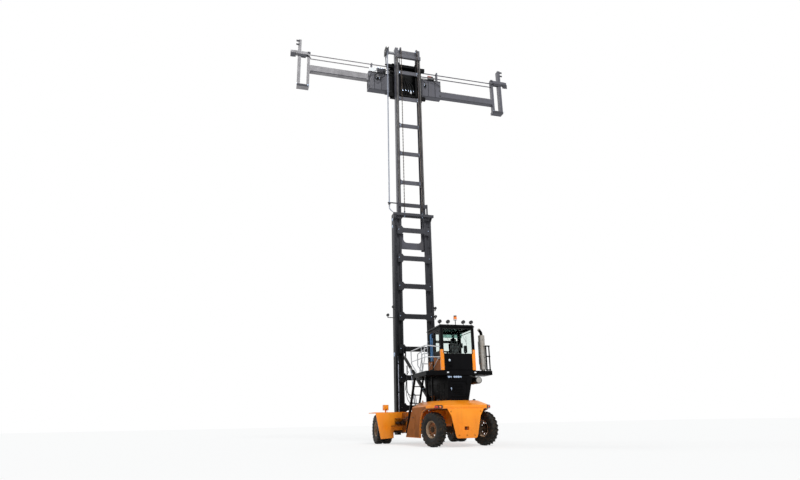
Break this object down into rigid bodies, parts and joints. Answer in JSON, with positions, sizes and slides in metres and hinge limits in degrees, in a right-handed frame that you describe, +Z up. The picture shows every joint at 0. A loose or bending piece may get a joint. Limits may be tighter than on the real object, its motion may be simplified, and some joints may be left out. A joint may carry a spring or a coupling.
{
  "type": "empty container handler",
  "caption": "Rear-steered lift truck with a tall raised two-stage mast and a wide telescopic side spreader for empty freight containers, cab raised over the engine.",
  "frame": {"origin": "on the ground, at the middle of the bounding box in length and width", "axes": "+X to the machine's left, +Y to its rear, +Z up; the mast and spreader face -Y"},
  "size_m": [12.96, 7.04, 21.15],
  "materials": {
    "axle_iron": "painted casting",
    "black_enamel": "semi-gloss enamel",
    "chain_steel": "oiled",
    "engine_iron": "cast",
    "grey_enamel": "satin enamel",
    "hose_rubber": "grey hose cover",
    "lamp_plastic": "moulded housings",
    "rail_paint": "satin enamel",
    "rim_enamel": "worn, dusty enamel",
    "rod_chrome": "polished",
    "seat_fabric": "woven seat cover",
    "silencer_steel": "bare, heat marked",
    "trim_plastic": "moulded",
    "tyre_rubber": "matt rubber",
    "window_glass": "clear, green tint",
    "yellow_enamel": "gloss enamel"
  },
  "bodies": {
    "chassis": {"chassis_frame": "yellow_enamel", "drive_axle": "axle_iron", "steer_axle": "axle_iron", "front_fenders": "yellow_enamel", "rear_deck": "yellow_enamel", "counterweight": "yellow_enamel", "engine_housing": "black_enamel", "engine_block": "engine_iron", "cab_platform": "black_enamel", "ladder": "black_enamel", "handrails": "rail_paint", "cab_frame": "black_enamel", "cab_roof": "black_enamel", "cab_glass": "window_glass", "operator_seat": "seat_fabric", "steering_console": "trim_plastic", "exhaust_silencer": "silencer_steel", "air_cleaner": "silencer_steel", "work_lamps": "lamp_plastic"},
    "hatch": {"housing_hatch": "black_enamel"},
    "door": {"cab_door": "yellow_enamel", "door_glass": "window_glass"},
    "front_wheel_left": {"front_left_tyres": "tyre_rubber", "front_left_rims": "rim_enamel"},
    "front_wheel_right": {"front_right_tyres": "tyre_rubber", "front_right_rims": "rim_enamel"},
    "steer_knuckle_left": {"knuckle_left": "axle_iron"},
    "steer_knuckle_right": {"knuckle_right": "axle_iron"},
    "rear_wheel_left": {"rear_left_tyre": "tyre_rubber", "rear_left_rim": "rim_enamel"},
    "rear_wheel_right": {"rear_right_tyre": "tyre_rubber", "rear_right_rim": "rim_enamel"},
    "mast": {"outer_uprights": "black_enamel", "outer_crossbeams": "black_enamel", "lift_barrels": "black_enamel", "mast_fittings": "black_enamel", "mast_lamps": "lamp_plastic", "tilt_lugs": "black_enamel", "lift_chains": "chain_steel", "hose_fall": "hose_rubber"},
    "inner_mast": {"inner_uprights": "black_enamel", "inner_crossbeams": "black_enamel", "mast_head": "black_enamel", "lift_rods": "rod_chrome", "carriage_chains": "chain_steel"},
    "carriage": {"carriage_frame": "black_enamel"},
    "side_shift": {"shift_frame": "grey_enamel"},
    "spreader": {"spreader_centre": "grey_enamel"},
    "arm_left": {"spreader_arm_left": "grey_enamel"},
    "arm_right": {"spreader_arm_right": "grey_enamel"},
    "tilt_cylinders": {"tilt_barrels": "black_enamel"},
    "tilt_pistons": {"tilt_rods": "rod_chrome"}
  },
  "joints": [
    {"name": "front_wheel_left_spin", "type": "hinge", "parent": "chassis", "child": "front_wheel_left", "pos_m": [1.762, -1.98, 0.613], "axis": [1, 0, 0], "continuous": true},
    {"name": "front_wheel_right_spin", "type": "hinge", "parent": "chassis", "child": "front_wheel_right", "pos_m": [-1.762, -1.98, 0.613], "axis": [1, 0, 0], "continuous": true},
    {"name": "steer_left", "type": "hinge", "parent": "chassis", "child": "steer_knuckle_left", "pos_m": [0.8, 2.8, 0.613], "axis": [0, 0, 1], "range_deg": [-79, 41]},
    {"name": "steer_right", "type": "hinge", "parent": "chassis", "child": "steer_knuckle_right", "pos_m": [-0.8, 2.8, 0.613], "axis": [0, 0, 1], "range_deg": [-79, 41]},
    {"name": "rear_wheel_left_spin", "type": "hinge", "parent": "steer_knuckle_left", "child": "rear_wheel_left", "pos_m": [1.04583, 2.88465, 0.613], "axis": [0.9455, 0.3256, 0], "continuous": true},
    {"name": "rear_wheel_right_spin", "type": "hinge", "parent": "steer_knuckle_right", "child": "rear_wheel_right", "pos_m": [-1.04583, 2.71535, 0.613], "axis": [0.9455, 0.3256, 0], "continuous": true},
    {"name": "mast_tilt", "type": "hinge", "parent": "chassis", "child": "mast", "pos_m": [0, -2.56, 0.62], "axis": [1, 0, 0], "range_deg": [-3, 3]},
    {"name": "tilt_cylinder_pitch", "type": "hinge", "parent": "chassis", "child": "tilt_cylinders", "pos_m": [0, 1.35, 1.72], "axis": [1, 0, 0], "range_deg": [-10, 10]},
    {"name": "tilt_stroke", "type": "slide", "parent": "tilt_cylinders", "child": "tilt_pistons", "axis": [0, -0.8616, 0.5076], "range_m": [-0.3, 0.3]},
    {"name": "mast_lift", "type": "slide", "parent": "mast", "child": "inner_mast", "axis": [0, 0, 1], "range_m": [-8.8, 0], "deforming": ["lift_chains", "hose_fall"]},
    {"name": "carriage_lift", "type": "slide", "parent": "inner_mast", "child": "carriage", "axis": [0, 0, 1], "range_m": [-8.8, 0], "deforming": ["carriage_chains"]},
    {"name": "side_shift_slide", "type": "slide", "parent": "carriage", "child": "side_shift", "axis": [1, 0, 0], "range_m": [-0.6, 0.6]},
    {"name": "pile_slope", "type": "hinge", "parent": "side_shift", "child": "spreader", "pos_m": [0, -3.04, 19.16], "axis": [0, 1, 0], "range_deg": [-5, 5]},
    {"name": "arm_left_slide", "type": "slide", "parent": "spreader", "child": "arm_left", "axis": [1, 0, 0], "range_m": [-3.05, 0]},
    {"name": "arm_right_slide", "type": "slide", "parent": "spreader", "child": "arm_right", "axis": [-1, 0, 0], "range_m": [-3.05, 0]},
    {"name": "door_swing", "type": "hinge", "parent": "chassis", "child": "door", "pos_m": [0.718, 2.163, 3.55], "axis": [0, 0, 1], "range_deg": [0, 95]},
    {"name": "hatch_swing", "type": "hinge", "parent": "chassis", "child": "hatch", "pos_m": [-0.293, 3.018, 2.06], "axis": [0, 0, 1], "range_deg": [0, 105]}
  ],
  "couplings": [
    {"joint": "steer_right", "follows": "steer_left", "ratio": 1},
    {"joint": "carriage_lift", "follows": "mast_lift", "ratio": 1},
    {"joint": "arm_right_slide", "follows": "arm_left_slide", "ratio": 1},
    {"joint": "tilt_cylinder_pitch", "follows": "mast_tilt", "ratio": 0.30412},
    {"joint": "tilt_stroke", "follows": "mast_tilt", "m_per_rad": 2.9323}
  ]
}
